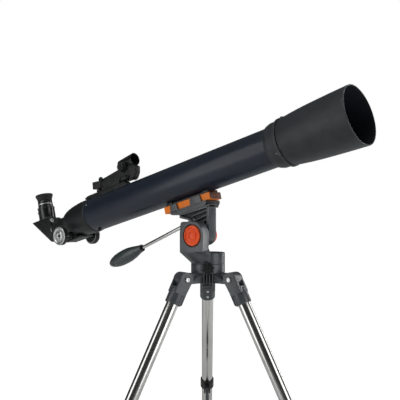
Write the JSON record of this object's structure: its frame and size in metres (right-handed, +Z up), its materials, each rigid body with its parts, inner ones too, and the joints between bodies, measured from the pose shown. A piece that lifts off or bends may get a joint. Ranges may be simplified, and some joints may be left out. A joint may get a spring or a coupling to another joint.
{
  "type": "refractor telescope on tripod",
  "caption": "Long refractor telescope with a flared hood, red-dot style finder and angled eyepiece, on an altitude-azimuth head with a pan handle and a folding chrome-legged tripod.",
  "frame": {"origin": "centre of the floor area that the part covers, at floor level", "axes": "+Z is up; +X is the side the tube points to at rest; +Y is the far side of the mount from the pan head plate"},
  "size_m": [0.9868, 0.7052, 1.0447],
  "materials": {
    "tube_paint": "dark navy grey gloss enamel",
    "black_plastic": "black moulded plastic with a fine grain",
    "hood_plastic": "charcoal semi-matte moulded plastic",
    "mount_plastic": "grey moulded plastic",
    "orange_bar": "orange satin paint",
    "cap_orange": "red-orange satin plastic",
    "grip_grey": "dark green-grey moulded plastic",
    "chrome": "polished chrome plate",
    "bolt_steel": "turned bright steel",
    "rubber": "soft black rubber",
    "glass": "coated optical glass"
  },
  "bodies": {
    "tripod": {"tripod_hub": "mount_plastic", "leg_pivot_bolt_front": "bolt_steel", "leg_pivot_bolt_left": "bolt_steel", "leg_pivot_bolt_right": "bolt_steel"},
    "azimuth_lock": {"azimuth_lock_knob": "black_plastic"},
    "head": {"azimuth_base": "mount_plastic", "azimuth_bolt": "bolt_steel"},
    "cradle": {"altitude_cradle": "mount_plastic", "altitude_bolt": "bolt_steel", "altitude_cap_right": "cap_orange", "altitude_cap_left": "cap_orange"},
    "pan_handle": {"handle_rod": "chrome", "handle_grip": "grip_grey"},
    "tube_clamp": {"dovetail_knob": "black_plastic"},
    "optical_tube": {"main_tube": "tube_paint", "lens_cell": "hood_plastic", "objective_lens": "glass", "dew_shield": "hood_plastic", "rear_cell": "black_plastic", "dovetail_bar": "orange_bar", "finder_bracket": "black_plastic", "finder_body": "black_plastic", "finder_window": "glass"},
    "focus_tube": {"drawtube": "black_plastic"},
    "focus_pinion": {"focus_shaft": "bolt_steel", "focus_knob_right": "bolt_steel", "focus_knob_left": "bolt_steel"},
    "diagonal": {"diagonal_housing": "black_plastic", "diagonal_mirror": "glass"},
    "drawtube_screw": {"drawtube_thumbscrew": "bolt_steel"},
    "eyepiece_screw": {"eyepiece_thumbscrew": "bolt_steel"},
    "eyepiece": {"eyepiece_body": "black_plastic", "eyecup": "rubber", "eye_lens": "glass"},
    "finder_dial": {"finder_switch": "black_plastic"},
    "finder_wheel": {"finder_adjust_knob": "black_plastic"},
    "spreader": {"spreader_hub": "black_plastic", "accessory_tray": "black_plastic"},
    "tray_screw": {"tray_knob": "black_plastic"},
    "leg_front": {"leg_socket_front": "mount_plastic", "upper_leg_front": "chrome", "leg_clamp_front": "black_plastic"},
    "lower_leg_front": {"lower_leg_front": "chrome", "foot_front": "rubber"},
    "leg_lock_front": {"leg_lock_knob_front": "black_plastic"},
    "spreader_arm_front": {"spreader_arm_front": "mount_plastic"},
    "leg_left": {"leg_socket_left": "mount_plastic", "upper_leg_left": "chrome", "leg_clamp_left": "black_plastic"},
    "lower_leg_left": {"lower_leg_left": "chrome", "foot_left": "rubber"},
    "leg_lock_left": {"leg_lock_knob_left": "black_plastic"},
    "spreader_arm_left": {"spreader_arm_left": "mount_plastic"},
    "leg_right": {"leg_socket_right": "mount_plastic", "upper_leg_right": "chrome", "leg_clamp_right": "black_plastic"},
    "lower_leg_right": {"lower_leg_right": "chrome", "foot_right": "rubber"},
    "leg_lock_right": {"leg_lock_knob_right": "black_plastic"},
    "spreader_arm_right": {"spreader_arm_right": "mount_plastic"}
  },
  "joints": [
    {"name": "azimuth_lock_turn", "type": "hinge", "parent": "tripod", "child": "azimuth_lock", "pos_m": [0.11388, 0.00084, 0.691], "axis": [0.6326, -0.7745, 0], "range_deg": [0, 360]},
    {"name": "azimuth", "type": "hinge", "parent": "tripod", "child": "head", "pos_m": [0.08858, 0.03182, 0.7], "axis": [0, 0, 1], "continuous": true},
    {"name": "altitude", "type": "hinge", "parent": "head", "child": "cradle", "pos_m": [0.08858, 0.02182, 0.7603], "axis": [0, -1, 0], "range_deg": [-40, 38]},
    {"name": "handle_twist", "type": "hinge", "parent": "cradle", "child": "pan_handle", "pos_m": [0.06858, 0.02122, 0.7956], "axis": [-0.9259, 0, -0.3778], "range_deg": [0, 360]},
    {"name": "tube_clamp_turn", "type": "hinge", "parent": "cradle", "child": "tube_clamp", "pos_m": [0.08876, 0.05982, 0.82648], "axis": [0, 1, 0], "range_deg": [0, 360]},
    {"name": "tube_balance", "type": "slide", "parent": "cradle", "child": "optical_tube", "axis": [0.9688, 0, 0.2478], "range_m": [-0.03, 0.03]},
    {"name": "focus_travel", "type": "slide", "parent": "optical_tube", "child": "focus_tube", "axis": [-0.9688, 0, -0.2478], "range_m": [0, 0.08]},
    {"name": "focus_turn", "type": "hinge", "parent": "optical_tube", "child": "focus_pinion", "pos_m": [-0.33702, 0.03182, 0.75183], "axis": [0, -1, 0], "range_deg": [0, 720]},
    {"name": "diagonal_turn", "type": "hinge", "parent": "focus_tube", "child": "diagonal", "pos_m": [-0.4152, 0.03182, 0.76692], "axis": [0.9688, 0, 0.2478], "continuous": true},
    {"name": "drawtube_screw_turn", "type": "hinge", "parent": "focus_tube", "child": "drawtube_screw", "pos_m": [-0.40708, 0.01767, 0.7836], "axis": [-0.1753, -0.7071, 0.685], "range_deg": [0, 360]},
    {"name": "eyepiece_screw_turn", "type": "hinge", "parent": "diagonal", "child": "eyepiece_screw", "pos_m": [-0.48285, 0.03182, 0.80948], "axis": [-0.9688, 0, -0.2478], "range_deg": [0, 360]},
    {"name": "eyepiece_pull", "type": "slide", "parent": "diagonal", "child": "eyepiece", "axis": [-0.2478, 0, 0.9688], "range_m": [0, 0.035]},
    {"name": "finder_dial_turn", "type": "hinge", "parent": "optical_tube", "child": "finder_dial", "pos_m": [-0.16063, 0.01381, 0.91772], "axis": [0, -1, 0], "range_deg": [0, 270]},
    {"name": "finder_wheel_turn", "type": "hinge", "parent": "optical_tube", "child": "finder_wheel", "pos_m": [-0.15662, 0.03182, 0.88592], "axis": [-0.2478, 0, 0.9688], "range_deg": [-180, 180]},
    {"name": "leg_fold_front", "type": "hinge", "parent": "tripod", "child": "leg_front", "pos_m": [0.1478, 0.04145, 0.6682], "axis": [-0.1606, 0.987, 0], "range_deg": [0, 12]},
    {"name": "leg_extend_front", "type": "slide", "parent": "leg_front", "child": "lower_leg_front", "axis": [0.4389, 0.0714, -0.8957], "range_m": [0, 0.32]},
    {"name": "leg_lock_turn_front", "type": "hinge", "parent": "leg_front", "child": "leg_lock_front", "pos_m": [0.36081, 0.0761, 0.28968], "axis": [0.8841, 0.1438, 0.4446], "range_deg": [0, 360]},
    {"name": "leg_fold_left", "type": "hinge", "parent": "tripod", "child": "leg_left", "pos_m": [0.05063, 0.07828, 0.6682], "axis": [-0.7745, -0.6326, 0], "range_deg": [0, 12]},
    {"name": "leg_extend_left", "type": "slide", "parent": "leg_left", "child": "lower_leg_left", "axis": [-0.2813, 0.3444, -0.8957], "range_m": [0, 0.32]},
    {"name": "leg_lock_turn_left", "type": "hinge", "parent": "leg_left", "child": "leg_lock_left", "pos_m": [-0.08589, 0.24543, 0.28968], "axis": [-0.5666, 0.6937, 0.4446], "range_deg": [0, 360]},
    {"name": "leg_fold_right", "type": "hinge", "parent": "tripod", "child": "leg_right", "pos_m": [0.06731, -0.02429, 0.6682], "axis": [0.9351, -0.3545, 0], "range_deg": [0, 12]},
    {"name": "leg_extend_right", "type": "slide", "parent": "leg_right", "child": "lower_leg_right", "axis": [-0.1576, -0.4158, -0.8957], "range_m": [0, 0.32]},
    {"name": "leg_lock_turn_right", "type": "hinge", "parent": "leg_right", "child": "leg_lock_right", "pos_m": [-0.00918, -0.22609, 0.28968], "axis": [-0.3175, -0.8376, 0.4446], "range_deg": [0, 360]},
    {"name": "spreader_slide", "type": "slide", "parent": "tripod", "child": "spreader", "axis": [0, 0, -1], "range_m": [0, 0.0832]},
    {"name": "spreader_arm_turn_front", "type": "hinge", "parent": "spreader", "child": "spreader_arm_front", "pos_m": [0.11622, 0.03631, 0.30581], "axis": [0.1606, -0.987, 0], "range_deg": [0, 30.68]},
    {"name": "spreader_arm_turn_left", "type": "hinge", "parent": "spreader", "child": "spreader_arm_left", "pos_m": [0.07087, 0.0535, 0.30581], "axis": [0.7745, 0.6326, 0], "range_deg": [0, 30.68]},
    {"name": "spreader_arm_turn_right", "type": "hinge", "parent": "spreader", "child": "spreader_arm_right", "pos_m": [0.07866, 0.00563, 0.30581], "axis": [-0.9351, 0.3545, 0], "range_deg": [0, 30.68]},
    {"name": "tray_screw_turn", "type": "hinge", "parent": "spreader", "child": "tray_screw", "pos_m": [0.08858, 0.03182, 0.28581], "axis": [0, 0, -1], "range_deg": [0, 360]}
  ],
  "couplings": [
    {"joint": "focus_turn", "follows": "focus_travel", "rad_per_m": 156.25},
    {"joint": "leg_fold_left", "follows": "leg_fold_front", "ratio": 1},
    {"joint": "leg_fold_right", "follows": "leg_fold_front", "ratio": 1},
    {"joint": "spreader_slide", "follows": "leg_fold_front", "m_per_rad": 0.395},
    {"joint": "spreader_arm_turn_front", "follows": "leg_fold_front", "ratio": 2.54},
    {"joint": "spreader_arm_turn_left", "follows": "leg_fold_front", "ratio": 2.54},
    {"joint": "spreader_arm_turn_right", "follows": "leg_fold_front", "ratio": 2.54}
  ]
}
